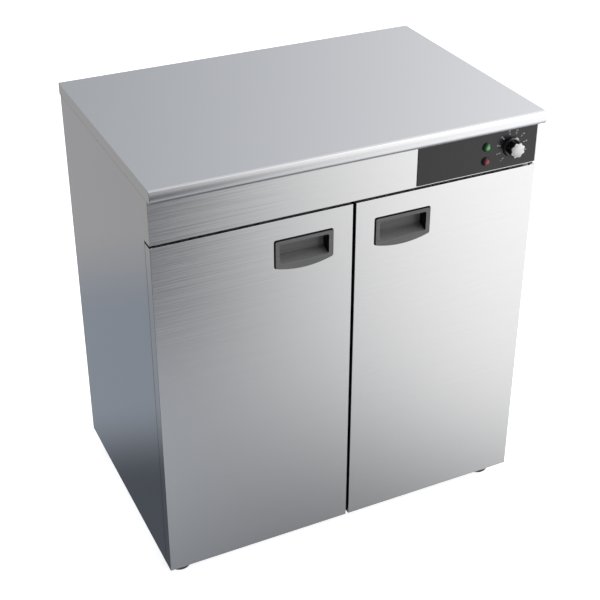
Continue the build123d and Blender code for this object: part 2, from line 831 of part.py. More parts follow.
block_low = gland_z - terminal_height / 2
block_high = gland_z + terminal_height / 2
block_front = back_inner - terminal_depth
way_pitch = terminal_width / terminal_ways
with BuildPart() as terminal_block:
    block(
        (terminal_x - terminal_width / 2, terminal_x + terminal_width / 2),
        (block_front, back_inner),
        (block_low, block_high),
    )
    with Locations((terminal_x, block_front, gland_z)):
        with GridLocations(way_pitch, 0, terminal_ways, 1):
            Box(terminal_slot_width, 2 * terminal_slot_depth, terminal_slot_height, mode=Mode.SUBTRACT)
keep(terminal_block, "terminal_block")


def wire(*points):
    with BuildLine() as route:
        FilletPolyline(*points, radius=wire_bend)
    with BuildSketch(Plane(origin=route.line @ 0, z_dir=route.line % 0)) as section:
        Circle(wire_radius)
    sweep(section.sketch, path=route.line)


wire_end = element_z + terminal_radius
thermostat_entry_z = knob_z + thermostat_lead_offset
wire_x = [terminal_x - 1.5 * way_pitch, terminal_x + 1.5 * way_pitch]
with BuildPart() as wiring:
    for start, end in zip(wire_x, legs):
        wire(
            (start, service_y, block_low),
            (start, service_y, block_low - 2 * wire_bend),
            (end, service_y, insulation_top - 3 * wire_bend),
            (end, service_y, wire_end),
        )
    wire(
        (wire_x[1], service_y, block_high),
        (wire_x[1], service_y, block_high + 1.5 * wire_bend),
        (knob_x, thermostat_rear + 4 * wire_bend, block_high + 1.5 * wire_bend),
        (knob_x, thermostat_rear + 4 * wire_bend, thermostat_entry_z),
        (knob_x, thermostat_rear, thermostat_entry_z),
    )
    for (x, z), end in zip(lamp_places, (terminal_x, terminal_x - way_pitch)):
        wire(
            (x, lamp_rear, z),
            (x, lamp_rear + 4 * wire_bend, z),
            (end, block_front - 4 * wire_bend, gland_z),
            (end, block_front + terminal_slot_depth, gland_z),
        )
keep(wiring, "wiring")


# ---- Doors ----
def handle_outline(middle, inset):
    """The handle's face: straight top and sides over a sagging lower edge."""
    half = handle_width / 2 - inset
    top = worktop_height - handle_drop - inset
    low = worktop_height - handle_drop - handle_side_height + inset
    left, right = middle - half, middle + half
    with BuildLine() as outline:
        sides = Polyline((left, low), (left, top), (right, top), (right, low))
        ThreePointArc(sides @ 1, (middle, low - handle_sag), sides @ 0)
    make_face(outline.edges())


def door_skin(side):
    middle = side * handle_offset
    with BuildPart() as skin:
        block((side * door_free, side * body_half), (front_y, door_back), (door_bottom, door_top))
        fillet(skin.edges().group_by(Axis.Y)[0], door_edge_radius)
        block(
            (side * (door_free + door_sheet), side * (body_half - door_sheet)),
            (front_y + door_sheet, door_back + overcut),
            (door_bottom + door_sheet, door_top - door_sheet),
            mode=Mode.SUBTRACT,
        )
        with Locations([(side * hinge_offset, hinge_y, z) for z in (door_bottom, door_top)]):
            Cylinder(bush_radius + seat_gap, 4 * door_sheet, mode=Mode.SUBTRACT)
        with BuildSketch(front_plane) as opening:
            handle_outline(middle, handle_lip - seat_gap)
            fillet(opening.vertices(), handle_corner_radius)
        extrude(amount=-2 * door_sheet, mode=Mode.SUBTRACT)
    return skin


def door_inner(side):
    with BuildPart() as tray:
        x = (side * (door_free + door_sheet + seat_gap), side * (body_half - door_sheet - seat_gap))
        z = (door_bottom + door_sheet + seat_gap, door_top - door_sheet - seat_gap)
        block(x, (door_back - door_sheet, door_back), z)
    return tray


def door_handle(side):
    middle = side * handle_offset
    pocket_top = worktop_height - handle_drop - pocket_top_margin
    pocket_middle = pocket_top - pocket_height / 2
    pocket_width = handle_width - 2 * pocket_side_margin
    with BuildPart() as cup:
        with BuildSketch(front_plane) as rim:
            handle_outline(middle, 0)
            fillet(rim.vertices(), handle_corner_radius)
        extrude(amount=handle_proud)
        fillet(cup.faces().sort_by(Axis.Y)[0].edges(), handle_edge_radius)
        with BuildSketch(front_plane) as body:
            handle_outline(middle, handle_lip)
            fillet(body.vertices(), handle_corner_radius)
        extrude(amount=-(pocket_depth + cup_wall))
        with BuildSketch(front_plane.offset(handle_proud)):
            with Locations((middle, pocket_middle)):
                RectangleRounded(pocket_width, pocket_height, pocket_corner_radius)
        with BuildSketch(front_plane.offset(-pocket_depth)):
            with Locations((middle, pocket_middle + (pocket_floor_rise - pocket_draft) / 2)):
                RectangleRounded(
                    pocket_width - 2 * pocket_draft,
                    pocket_height - pocket_floor_rise - pocket_draft,
                    pocket_corner_radius,
                )
        loft(mode=Mode.SUBTRACT)
    return cup


def door_insulation(side):
    middle = side * handle_offset
    handle_half = handle_width / 2
    with BuildPart() as slab:
        block(
            (side * (door_free + door_sheet + slab_gap), side * (hinge_offset - bush_radius - slab_gap)),
            (front_y + door_sheet + slab_gap, door_back - door_sheet - slab_gap),
            (door_bottom + door_sheet + slab_gap, door_top - door_sheet - slab_gap),
        )
        block(
            (middle - handle_half, middle + handle_half),
            (front_y, door_back),
            (worktop_height - handle_drop - handle_side_height - handle_sag, worktop_height - handle_drop),
            mode=Mode.SUBTRACT,
        )
    return slab


def door_gasket(side):
    edge = door_free - seal_reach
    outer = hinge_offset - gasket_hinge_gap
    low, high = door_bottom + gasket_inset, door_top - gasket_inset
    back = door_back + gasket_thickness
    with BuildPart() as seal:
        block((side * edge, side * outer), (door_back, back), (low, high))
        block(
            (side * (edge + gasket_width), side * (outer - gasket_width)),
            (door_back - overcut, back + overcut),
            (low + gasket_width, high - gasket_width),
            mode=Mode.SUBTRACT,
        )
        block((side * edge, side * (door_free - running_gap)), (front_y + seal_setback, back), (low, high))
    return seal


def door_bushes(side):
    with BuildPart() as bushes:
        for end, into in ((door_bottom, 1), (door_top, -1)):
            with Locations((side * hinge_offset, hinge_y, end + into * bush_length / 2)):
                Cylinder(bush_radius, bush_length)
            with Locations((side * hinge_offset, hinge_y, end - into * bush_flange / 2)):
                Cylinder(bush_flange_radius, bush_flange)
            with Locations((side * hinge_offset, hinge_y, end)):
                Cylinder(hinge_pin_radius + running_gap, 4 * bush_length, mode=Mode.SUBTRACT)
    return bushes


bracket_low = door_bottom - bush_flange - bracket_gap - bracket_sheet


def hinge_pins(side):
    outer = body_half - casing_sheet - seat_gap
    inner = outer - bracket_width
    lower_top = bracket_low + bracket_sheet
    upper_low = fascia_bottom + casing_sheet
    with BuildPart() as pins:
        block((side * inner, side * outer), (hinge_y - bracket_nose, frame_back), (bracket_low, lower_top))
        block((side * inner, side * outer), (frame_y + casing_sheet, frame_back), (lower_top, foot_height))
        with Locations((side * hinge_offset, hinge_y, lower_top)):
            Cylinder(hinge_pin_radius, pin_engagement, align=(Align.CENTER, Align.CENTER, Align.MIN))
        with Locations([(side * bracket_x, y, lower_top) for y in bracket_screws]):
            Cylinder(screw_radius + seat_gap, 4 * bracket_sheet, mode=Mode.SUBTRACT)
        block(
            (side * inner, side * outer),
            (front_y + casing_sheet + seat_gap, door_back),
            (upper_low, upper_low + bracket_sheet),
        )
        with Locations((side * hinge_offset, hinge_y, upper_low)):
            Cylinder(
                hinge_pin_radius,
                upper_low - door_top + pin_engagement,
                align=(Align.CENTER, Align.CENTER, Align.MAX),
            )
    return pins


def door_strike(side):
    low = cavity_ceiling - (catch_height + strike_height) / 2
    with BuildPart() as strike:
        block(
            (side * catch_offset, side * (catch_offset + strike_width)),
            (door_back, frame_y + catch_setback - strike_gap),
            (low, low + strike_height),
        )
    return strike


door_pieces = {
    "door_skin": door_skin,
    "door_inner": door_inner,
    "door_insulation": door_insulation,
    "door_handle": door_handle,
    "door_gasket": door_gasket,
    "door_bushes": door_bushes,
    "door_strike": door_strike,
    "hinge_pins": hinge_pins,
}
for side in (-1, 1):
    for name, make in door_pieces.items():
        keep(make(side), f"{side_name(side)}_{name}")

with BuildPart() as door_catches:
    for side in (-1, 1):
        middle = side * (catch_offset + strike_width / 2)
        block(
            (middle - catch_width / 2, middle + catch_width / 2),
            (frame_y + catch_setback, frame_y + catch_setback + catch_depth),
            (cavity_ceiling - catch_height, cavity_ceiling),
        )
keep(door_catches, "door_catches")


# ---- Feet: a moulded pad on a threaded stem, locked by a nut in the pan ----
def foot(x, y):
    with BuildPart() as pad:
        with Locations((x, y, 0)):
            Cylinder(foot_pad_radius, foot_pad_height, align=(Align.CENTER, Align.CENTER, Align.MIN))
        with Locations((x, y, foot_pad_height)):
            Cylinder(
                foot_neck_radius,
                foot_height - foot_pad_height - seat_gap,
                align=(Align.CENTER, Align.CENTER, Align.MIN),
            )
        with Locations((x, y, foot_pad_height)):
            Cylinder(
                stem_radius + running_gap,
                foot_height,
                align=(Align.CENTER, Align.CENTER, Align.MIN),
                mode=Mode.SUBTRACT,
            )
    return pad


foot_names = ["foot_front_left", "foot_front_right", "foot_rear_left", "foot_rear_right"]
for name, place in zip(foot_names, foot_places):
    keep(foot(*place), name)

with BuildPart() as foot_stems:
    for x, y in foot_places:
        with Locations((x, y, foot_pad_height + seat_gap)):
            Cylinder(
                stem_radius,
                foot_height + stem_top_rise - foot_pad_height,
                align=(Align.CENTER, Align.CENTER, Align.MIN),
            )
        with BuildSketch(Plane.XY.offset(pan_top)):
            with Locations((x, y)):
                RegularPolygon(nut_radius, 6)
        extrude(amount=nut_height)
keep(foot_stems, "foot_stems")


# ---- Screws: back panel and lower hinge brackets ----
def screw(head_plane):
    with BuildSketch(head_plane) as head:
        Circle(screw_head_radius)
    extrude(head.sketch, amount=screw_head)
    with BuildSketch(head_plane) as shank:
        Circle(screw_radius)
    extrude(shank.sketch, amount=-screw_length)


with BuildPart() as casing_screws:
    for side in (-1, 1):
        for z in screw_rows:
            screw(Plane(origin=(side * screw_x, back_outer, z), x_dir=(-1, 0, 0), z_dir=(0, 1, 0)))
        for y in bracket_screws:
            screw(Plane(origin=(side * bracket_x, y, bracket_low), x_dir=(1, 0, 0), z_dir=(0, 0, -1)))
keep(casing_screws, "casing_screws")
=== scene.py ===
import bpy, bmesh, json
from math import radians, sin, cos, atan2, asin, sqrt, tau
from mathutils import Matrix, Vector


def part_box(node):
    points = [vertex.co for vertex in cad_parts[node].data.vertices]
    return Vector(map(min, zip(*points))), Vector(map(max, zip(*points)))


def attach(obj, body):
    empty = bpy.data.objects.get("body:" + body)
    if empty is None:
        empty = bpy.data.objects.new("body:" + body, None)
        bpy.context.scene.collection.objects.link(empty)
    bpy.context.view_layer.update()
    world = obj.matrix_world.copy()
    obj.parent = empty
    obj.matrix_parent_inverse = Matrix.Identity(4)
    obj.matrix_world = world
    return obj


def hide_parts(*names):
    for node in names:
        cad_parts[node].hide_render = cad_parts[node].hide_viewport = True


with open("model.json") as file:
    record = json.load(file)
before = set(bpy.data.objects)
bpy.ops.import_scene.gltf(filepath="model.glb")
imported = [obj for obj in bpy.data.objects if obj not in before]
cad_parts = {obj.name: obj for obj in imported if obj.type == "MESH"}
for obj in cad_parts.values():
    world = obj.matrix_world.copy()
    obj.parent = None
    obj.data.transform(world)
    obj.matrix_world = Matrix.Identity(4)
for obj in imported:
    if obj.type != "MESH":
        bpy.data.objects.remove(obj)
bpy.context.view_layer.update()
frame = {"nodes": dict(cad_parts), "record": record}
nodes = frame["nodes"]
scene = bpy.context.scene
scene.view_settings.view_transform = "Standard"
print("frame loaded:", len(nodes), "nodes")

mm = 0.001
weld = 1e-6
toFront = Vector((0, -1, 0))
toRear = Vector((0, 1, 0))
toFloor = Vector((0, 0, -1))

cameraView = {
    "place": (-0.9692, -2.0518, 1.8342),
    "tilt": 60.599,
    "turn": -25.403,
    "lens": 74.754,
    "shift": (0.00382, -0.08499),
    "sensor": 36,
    "farthest": 60,
}
camera = bpy.data.objects.new("camera", bpy.data.cameras.new("camera"))
scene.collection.objects.link(camera)
camera.location = cameraView["place"]
camera.rotation_euler = (radians(cameraView["tilt"]), 0, radians(cameraView["turn"]))
camera.data.lens = cameraView["lens"]
camera.data.sensor_width = cameraView["sensor"]
camera.data.shift_x, camera.data.shift_y = cameraView["shift"]
camera.data.clip_end = cameraView["farthest"]
scene.camera = camera


# node helpers
def add(tree, kind, **settings):
    node = tree.nodes.new("ShaderNode" + kind)
    for key, value in settings.items():
        setattr(node, key, value)
    return node


def plug(tree, source, target):
    if isinstance(source, (int, float)):
        target.default_value = source
    elif isinstance(source, (tuple, list)):
        target.default_value = tuple(source) + ((1,) if len(target.default_value) > len(source) else ())
    else:
        tree.links.new(source, target)


def maths(tree, operation, *values, clamp=False):
    node = add(tree, "Math", operation=operation, use_clamp=clamp)
    for value, socket in zip(values, node.inputs):
        plug(tree, value, socket)
    return node.outputs[0]


def stepped(tree, value, low, high, toLow=0.0, toHigh=1.0):
    node = add(tree, "MapRange", interpolation_type="SMOOTHSTEP")
    for socket, number in zip(node.inputs, (value, low, high, toLow, toHigh)):
        plug(tree, number, socket)
    return node.outputs[0]


def risen(tree, value, edge, soft, falling=False):
    return stepped(tree, value, edge - soft, edge + soft, *((1.0, 0.0) if falling else (0.0, 1.0)))


def mixed(tree, factor, first, second, blend="MIX"):
    node = add(tree, "Mix", data_type="RGBA", blend_type=blend)
    plug(tree, factor, node.inputs[0])
    plug(tree, first, node.inputs[6])
    plug(tree, second, node.inputs[7])
    return node.outputs[2]


# studio round the cabinet: soft panels of light that add up, given in degrees by azimuth and elevation.
# Azimuth is 0 in front and 90 at the right, or 0 behind and 90 at the left where "rear" is set
studioPanels = [
    {"name": "dim room", "colour": (0.085, 0.093, 0.108)},
    {"name": "right window", "colour": (0.94, 0.93, 0.922), "left": 27.07, "leftSoft": 11.95,
     "right": 144, "rightSoft": 28, "low": -38.96, "lowSoft": 4.44, "high": 62, "highSoft": 12},
    {"name": "upper window", "colour": (0.572, 0.565, 0.555), "left": 20.48, "leftSoft": 4.76,
     "right": 60, "rightSoft": 20, "low": -32.9, "lowSoft": 16.1, "high": 50, "highSoft": 14},
    {"name": "low window", "colour": (0.82, 0.81, 0.80), "left": 34, "leftSoft": 4.5,
     "right": 144, "rightSoft": 28, "low": -80, "lowSoft": 4, "high": -47, "highSoft": 4},
    {"name": "right softbox", "colour": (5.0, 5.0, 5.0), "left": 62, "leftSoft": 6,
     "right": 98, "rightSoft": 6, "low": 4, "lowSoft": 5, "high": 34, "highSoft": 6},
    {"name": "front floor", "colour": (0.02, 0.02, 0.02), "left": -55, "leftSoft": 25,
     "right": 95, "rightSoft": 25, "low": -70, "lowSoft": 15, "high": -21.8, "highSoft": 4.9},
    {"name": "floor sheen", "colour": (0.63, 0.655, 0.69), "left": -22, "leftSoft": 12,
     "right": 18.67, "rightSoft": 11.73, "low": -44.24, "lowSoft": 5.17, "high": -33.1, "highSoft": 3},
    {"name": "front sky", "colour": (0.21, 0.202, 0.19), "left": -10, "leftSoft": 25,
     "right": 95, "rightSoft": 25, "low": 2.6, "lowSoft": 16.4, "high": 75, "highSoft": 12},
    {"name": "left rear wall", "colour": (0.21, 0.23, 0.25), "rear": True, "left": -50, "leftSoft": 20,
     "right": 90, "rightSoft": 20, "low": -37.8, "lowSoft": 1.7, "high": 8, "highSoft": 12},
    {"name": "left rear glow", "colour": (0.12, 0.085, 0.045), "rear": True, "left": -50, "leftSoft": 20,
     "right": 90, "rightSoft": 20, "low": -30, "lowSoft": 2, "high": 8, "highSoft": 12},
    {"name": "rear sky", "colour": (0.43, 0.44, 0.45), "rear": True, "left": -90, "leftSoft": 25,
     "right": 90, "rightSoft": 25, "low": 6, "lowSoft": 22, "high": 75, "highSoft": 12},
    {"name": "overhead", "colour": (0.62, 0.635, 0.65), "left": -200, "leftSoft": 1,
     "right": 200, "rightSoft": 1, "low": 70, "lowSoft": 14, "high": 95, "highSoft": 2},
]


def buildWorld():
    world = bpy.data.worlds.new("studio")
    scene.world = world
    world.use_nodes = True
    tree = world.node_tree
    tree.nodes.clear()
    way = add(tree, "TexCoord").outputs["Generated"]
    split = add(tree, "SeparateXYZ")
    plug(tree, way, split.inputs[0])
    ahead = maths(tree, "MULTIPLY", split.outputs[1], -1.0)
    aside = maths(tree, "MULTIPLY", split.outputs[0], -1.0)
    degree = radians(1)
    frontSwing = maths(tree, "DIVIDE", maths(tree, "ARCTAN2", split.outputs[0], ahead), degree)
    rearSwing = maths(tree, "DIVIDE", maths(tree, "ARCTAN2", aside, split.outputs[1]), degree)
    height = maths(tree, "DIVIDE", maths(tree, "ARCSINE", split.outputs[2]), degree)
    colour = None
    for panel in studioPanels:
        if "left" not in panel:
            colour = panel["colour"]
            continue
        swing = rearSwing if panel.get("rear") else frontSwing
        inside = maths(tree, "MULTIPLY", risen(tree, swing, panel["left"], panel["leftSoft"]),
                       risen(tree, swing, panel["right"], panel["rightSoft"], True))
        above = risen(tree, height, panel["low"], panel["lowSoft"])
        below = risen(tree, height, panel["high"], panel["highSoft"], True)
        share = maths(tree, "MULTIPLY", maths(tree, "MULTIPLY", inside, above), below)
        scaled = mixed(tree, share, (0, 0, 0), panel["colour"])
        colour = mixed(tree, 1.0, colour, scaled, "ADD")
    room = add(tree, "Background")
    plug(tree, colour, room.inputs[0])
    paper = add(tree, "Background")
    plug(tree, (1, 1, 1), paper.inputs[0])
    blend = add(tree, "MixShader")
    rays = add(tree, "LightPath")
    plug(tree, rays.outputs["Is Camera Ray"], blend.inputs[0])
    plug(tree, room.outputs[0], blend.inputs[1])
    plug(tree, paper.outputs[0], blend.inputs[2])
    output = add(tree, "OutputWorld")
    plug(tree, blend.outputs[0], output.inputs[0])


buildWorld()


# floor: matte paper that glows for the camera only and isn't mirrored in the steel
floorPaper = {"size": 12, "shade": (0.8, 0.8, 0.8), "glow": 0.78}


def buildFloor():
    bm = bmesh.new()
    bmesh.ops.create_grid(bm, x_segments=1, y_segments=1, size=floorPaper["size"])
    mesh = bpy.data.meshes.new("floor")
    bm.to_mesh(mesh)
    bm.free()
    floor = bpy.data.objects.new("floor", mesh)
    scene.collection.objects.link(floor)
    floor.visible_glossy = False
    material = bpy.data.materials.new("floorPaper")
    material.use_nodes = True
    tree = material.node_tree
    tree.nodes.clear()
    matte = add(tree, "BsdfDiffuse")
    plug(tree, floorPaper["shade"], matte.inputs[0])
    white = add(tree, "Emission")
    rays = add(tree, "LightPath")
    plug(tree, (1, 1, 1), white.inputs[0])
    glow = maths(tree, "MULTIPLY", rays.outputs["Is Camera Ray"], floorPaper["glow"])
    plug(tree, glow, white.inputs[1])
    both = add(tree, "AddShader")
    plug(tree, matte.outputs[0], both.inputs[0])
    plug(tree, white.outputs[0], both.inputs[1])
    output = add(tree, "OutputMaterial")
    plug(tree, both.outputs[0], output.inputs[0])
    mesh.materials.append(material)


buildFloor()
print("stage ready")

finishes = {}


# material helpers
def startMaterial(name, colour, **values):
    material = bpy.data.materials.new(name)
    material.use_nodes = True
    tree = material.node_tree
    shader = tree.nodes["Principled BSDF"]
    plug(tree, colour, shader.inputs["Base Color"])
    sockets = {"metallic": "Metallic", "roughness": "Roughness", "specular": "Specular IOR Level"}
    for key, value in values.items():
        shader.inputs[sockets[key]].default_value = value
    finishes[name] = material
    return tree, shader


def grain(tree, scale, detail=4, rough=0.6):
    mapping = add(tree, "Mapping")
    plug(tree, add(tree, "TexCoord").outputs["Object"], mapping.inputs["Vector"])
    mapping.inputs["Scale"].default_value = scale
    noise = add(tree, "TexNoise")
    plug(tree, mapping.outputs[0], noise.inputs["Vector"])
    noise.inputs["Scale"].default_value = 1
    noise.inputs["Detail"].default_value = detail
    noise.inputs["Roughness"].default_value = rough
    return noise.outputs[0]


def bumped(tree, shader, height, strength, distance=0.2 * mm):
    bump = add(tree, "Bump")
    bump.inputs["Strength"].default_value = strength
    bump.inputs["Distance"].default_value = distance
    plug(tree, height, bump.inputs["Height"])
    plug(tree, bump.outputs[0], shader.inputs["Normal"])


def shaded(colour, swing):
    return tuple(min(1, c * (1 + swing)) for c in colour)


def parted(tree, output):
    split = add(tree, "SeparateXYZ")
    plug(tree, add(tree, "TexCoord").outputs[output], split.inputs[0])
    return split.outputs


# brushed sheet: long streaks along the grain and fine hairs. Where a sheet asks for it, the streaks are
# stronger towards the upper left as painted sheen, and faces that look sideways are plain and less rough
brushing = {"streakGrain": (4, 0.7), "hairGrain": (2, 0.5), "hairRange": (0.3, 0.7), "roughLeast": 0.85,
            "roughMost": 1.2, "sideways": (0.6, 0.9)}


def brushedSheet(name, values):
    tree, shader = startMaterial(name, values["colour"], metallic=1.0, roughness=values["roughness"])
    across, along = values["streaksPerMetre"]
    hairAcross, hairAlong = values["hairsPerMetre"]
    spot = "xyz".index(values["grain"])
    streakScale = tuple(along if k == spot else across for k in range(3))
    hairScale = tuple(hairAlong if k == spot else hairAcross for k in range(3))
    streaks = grain(tree, streakScale, *brushing["streakGrain"])
    hairs = grain(tree, hairScale, *brushing["hairGrain"])
    swing = maths(tree, "SUBTRACT", streaks, 0.5)
    strength = values["streak"]
    # painted sheen: the grain is real, its extra contrast towards the sheet's upper left is where it catches
    # the light
    if "corner" in values:
        corner = values["corner"]
        place = parted(tree, "Object")
        leftward = stepped(tree, place[0], corner["full"][0], corner["gone"][0], 1.0, 0.0)
        upward = stepped(tree, place[2], corner["gone"][1], corner["full"][1])
        extra = maths(tree, "MULTIPLY", maths(tree, "MULTIPLY", leftward, upward), corner["streak"])
        strength = maths(tree, "ADD", strength, extra)
    if "edgeRoughness" in values:
        sideways = stepped(tree, maths(tree, "ABSOLUTE", parted(tree, "Normal")[0]), *brushing["sideways"])
        strength = maths(tree, "MULTIPLY", strength, maths(tree, "SUBTRACT", 1.0, sideways))
    level = maths(tree, "ADD", 1.0, maths(tree, "MULTIPLY", swing, strength))
    white = add(tree, "CombineColor")
    for socket in white.inputs[:3]:
        plug(tree, level, socket)
    plug(tree, mixed(tree, 1.0, values["colour"], white.outputs[0], "MULTIPLY"), shader.inputs["Base Color"])
    rough = values["roughness"]
    least, most = rough * brushing["roughLeast"], rough * brushing["roughMost"]
    roughness = stepped(tree, hairs, *brushing["hairRange"], least, most)
    if "edgeRoughness" in values:
        extra = maths(tree, "MULTIPLY", sideways, values["edgeRoughness"] - rough)
        roughness = maths(tree, "ADD", roughness, extra)
    plug(tree, roughness, shader.inputs["Roughness"])
    bumped(tree, shader, hairs, values["bump"])


# the outer sheets are one steel in three copies: besides grain and roughness, their colours differ as
# painted reflection, the side's tinted bluer and the top's a little lighter and bluer than the front's
sheets = {
    "frontSteel": {"colour": (0.662, 0.664, 0.668), "grain": "x", "roughness": 0.17, "edgeRoughness": 0.10,
                   "streak": 0.08, "streaksPerMetre": (600, 4), "hairsPerMetre": (2400, 60), "bump": 0.04,
                   "corner": {"full": (-0.40, 0.86), "gone": (-0.10, 0.44), "streak": 1.3}},
    "sideSteel": {"colour": (0.65, 0.66, 0.70), "grain": "y", "roughness": 0.09, "streak": 0.02,
                  "streaksPerMetre": (140, 8), "hairsPerMetre": (2400, 60), "bump": 0.03},
    "topSteel": {"colour": (0.668, 0.672, 0.688), "grain": "x", "roughness": 0.16, "streak": 0.02,
                 "streaksPerMetre": (140, 8), "hairsPerMetre": (2400, 60), "bump": 0.04},
    "linerSteel": {"colour": (0.76, 0.765, 0.77), "grain": "x", "roughness": 0.42, "streak": 0.08,
                   "streaksPerMetre": (140, 12), "hairsPerMetre": (2400, 60), "bump": 0.05},
}
for name, values in sheets.items():
    brushedSheet(name, values)


# a plain finish: a colour that swings a little, a roughness that swings with it, and a fine bump
plain = {"toneRange": (0.3, 0.7), "roughRange": (0.25, 0.75), "bumpsPerMetre": 900, "bumpDetail": 3}


def plainFinish(name, colour, swing, size, rough, roughSwing, bump=0.0, **values):
    tree, shader = startMaterial(name, colour, roughness=rough, **values)
    noise = grain(tree, (size, size, size))
    share = stepped(tree, noise, *plain["toneRange"])
    tone = mixed(tree, share, shaded(colour, -swing), shaded(colour, swing))
    plug(tree, tone, shader.inputs["Base Color"])
    roughness = stepped(tree, noise, *plain["roughRange"], rough - roughSwing, rough + roughSwing)
    plug(tree, roughness, shader.inputs["Roughness"])
    if bump:
        pits = grain(tree, (plain["bumpsPerMetre"],) * 3, plain["bumpDetail"])
        bumped(tree, shader, pits, bump)


plainFinish("galvanised", (0.52, 0.54, 0.55), 0.12, 70, 0.38, 0.08, metallic=1.0)
plainFinish("charcoalPanel", (0.008, 0.008, 0.009), 0.08, 900, 0.26, 0.03, bump=0.03)
plainFinish("knobBlack", (0.006, 0.006, 0.006), 0.05, 150, 0.18, 0.04, specular=1.0)
plainFinish("knobSilver", (0.72, 0.72, 0.725), 0.03, 420, 0.48, 0.04, metallic=1.0)
plainFinish("dialWhite", (0.86, 0.86, 0.84), 0.05, 400, 0.5, 0.05)
plainFinish("lampBlack", (0.02, 0.02, 0.02), 0.05, 200, 0.4, 0.05)
plainFinish("sealRubber", (0.004, 0.004, 0.004), 0.10, 200, 0.85, 0.08, bump=0.2, specular=0.06)
# dark grey of the strip that paints the shadow line under the worktop's flanges
plainFinish("shadowStripGrey", (0.03, 0.03, 0.03), 0.10, 200, 0.7, 0.08)
plainFinish("footRubber", (0.085, 0.085, 0.085), 0.10, 200, 0.7, 0.08, bump=0.2)
plainFinish("mineralWool", (0.55, 0.46, 0.25), 0.25, 300, 0.95, 0.04, bump=0.6)
plainFinish("elementSteel", (0.25, 0.22, 0.20), 0.20, 80, 0.45, 0.10, metallic=1.0)
plainFinish("brass", (0.80, 0.62, 0.30), 0.06, 120, 0.30, 0.08, metallic=1.0)
plainFinish("copper", (0.85, 0.45, 0.30), 0.08, 120, 0.32, 0.08, metallic=1.0)
plainFinish("zincSteel", (0.62, 0.63, 0.64), 0.06, 200, 0.30, 0.08, metallic=1.0)
plainFinish("terminalWhite", (0.80, 0.79, 0.74), 0.04, 80, 0.45, 0.05)
plainFinish("wireJacket", (0.12, 0.10, 0.30), 0.08, 200, 0.45, 0.05)
plainFinish("glandNylon", (0.03, 0.03, 0.03), 0.08, 200, 0.45, 0.06, bump=0.05)

# handle: grey textured fronts, a light pocket floor that is painted light, and black walls at the rim and at
# the pocket's ends that are painted shade
handleMould = {"front": (0.15, 0.15, 0.151), "wall": (0.004, 0.004, 0.004), "floor": (0.20, 0.20, 0.201),
               "facing": (-0.985, -0.92), "sideways": (0.45, 0.75), "rim": 2.4 * mm, "rimSoft": 0.2 * mm,
               "rib": 0.9, "ribsPerMetre": (560, 10), "ribGrain": (3, 0.5), "rough": (0.34, 0.46),
               "wallRough": 1.0, "pitsPerMetre": 1500, "pitDetail": 3, "pitRange": (0.3, 0.7), "bump": 0.06}


def handleFinish(values):
    low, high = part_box("right_door_handle")
    tree, shader = startMaterial("handlePlastic", values["front"])
    turn = parted(tree, "Normal")
    place = parted(tree, "Object")
    across, along = values["ribsPerMetre"]
    ribs = grain(tree, (along, across, across), *values["ribGrain"])
    facing = stepped(tree, turn[1], *values["facing"], 1.0, 0.0)
    sideways = stepped(tree, maths(tree, "ABSOLUTE", turn[0]), *values["sideways"])
    outward = maths(tree, "ABSOLUTE", place[0])
    aside = maths(tree, "ABSOLUTE", maths(tree, "SUBTRACT", outward, (low.x + high.x) / 2))
    end = (high.x - low.x) / 2 - values["rim"]
    top = high.z - values["rim"]
    soft = values["rimSoft"]
    rim = maths(tree, "MAXIMUM", stepped(tree, aside, end - soft, end + soft),
                stepped(tree, place[2], top - soft, top + soft))
    # painted shade: the rim's outer walls and the pocket's end walls go black; the other walls take the
    # pocket floor's lighter colour as painted light
    paintedShadeMask = maths(tree, "MAXIMUM", sideways, rim)
    paintedLightAndShade = mixed(tree, paintedShadeMask, values["floor"], values["wall"])
    tone = mixed(tree, facing, paintedLightAndShade, values["front"])
    level = maths(tree, "MULTIPLY_ADD", maths(tree, "SUBTRACT", ribs, 0.5), values["rib"], 1.0)
    white = add(tree, "CombineColor")
    for socket in white.inputs[:3]:
        plug(tree, level, socket)
    plug(tree, mixed(tree, 1.0, tone, white.outputs[0], "MULTIPLY"), shader.inputs["Base Color"])
    pits = grain(tree, (values["pitsPerMetre"],) * 3, values["pitDetail"])
    roughness = stepped(tree, pits, *values["pitRange"], *values["rough"])
    dull = maths(tree, "MULTIPLY", paintedShadeMask, maths(tree, "SUBTRACT", 1.0, facing))
    plug(tree, maths(tree, "MAXIMUM", roughness, maths(tree, "MULTIPLY", dull, values["wallRough"])),
         shader.inputs["Roughness"])
    bumped(tree, shader, pits, values["bump"])


handleFinish(handleMould)


# lamp lens: a painted highlight makes it pale in the middle, and painted shade makes it deep at the rim
lens = {"rough": 0.42, "paintedHighlightRadius": 0.2, "paintedShadeRadius": 0.84}


def lensFinish(name, node, rim, middle):
    low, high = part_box(node)
    radius = (high.x - low.x) / 2
    tree, shader = startMaterial(name, rim, roughness=lens["rough"])
    mapping = add(tree, "Mapping")
    plug(tree, add(tree, "TexCoord").outputs["Object"], mapping.inputs["Vector"])
    mapping.inputs["Location"].default_value = (-(low.x + high.x) / 2, 0, -(low.z + high.z) / 2)
    flat = add(tree, "VectorMath", operation="MULTIPLY")
    plug(tree, mapping.outputs[0], flat.inputs[0])
    flat.inputs[1].default_value = (1 / radius, 0, 1 / radius)
    away = add(tree, "VectorMath", operation="LENGTH")
    plug(tree, flat.outputs[0], away.inputs[0])
    # painted highlight in the middle, fading to painted shade towards the rim
    share = stepped(tree, away.outputs["Value"], lens["paintedHighlightRadius"], lens["paintedShadeRadius"])
    plug(tree, mixed(tree, share, middle, rim), shader.inputs["Base Color"])


lensFinish("greenLens", "green_lamp_lens", (0.012, 0.07, 0.018), (0.20, 0.60, 0.21))
lensFinish("redLens", "red_lamp_lens", (0.06, 0.008, 0.01), (0.40, 0.085, 0.10))

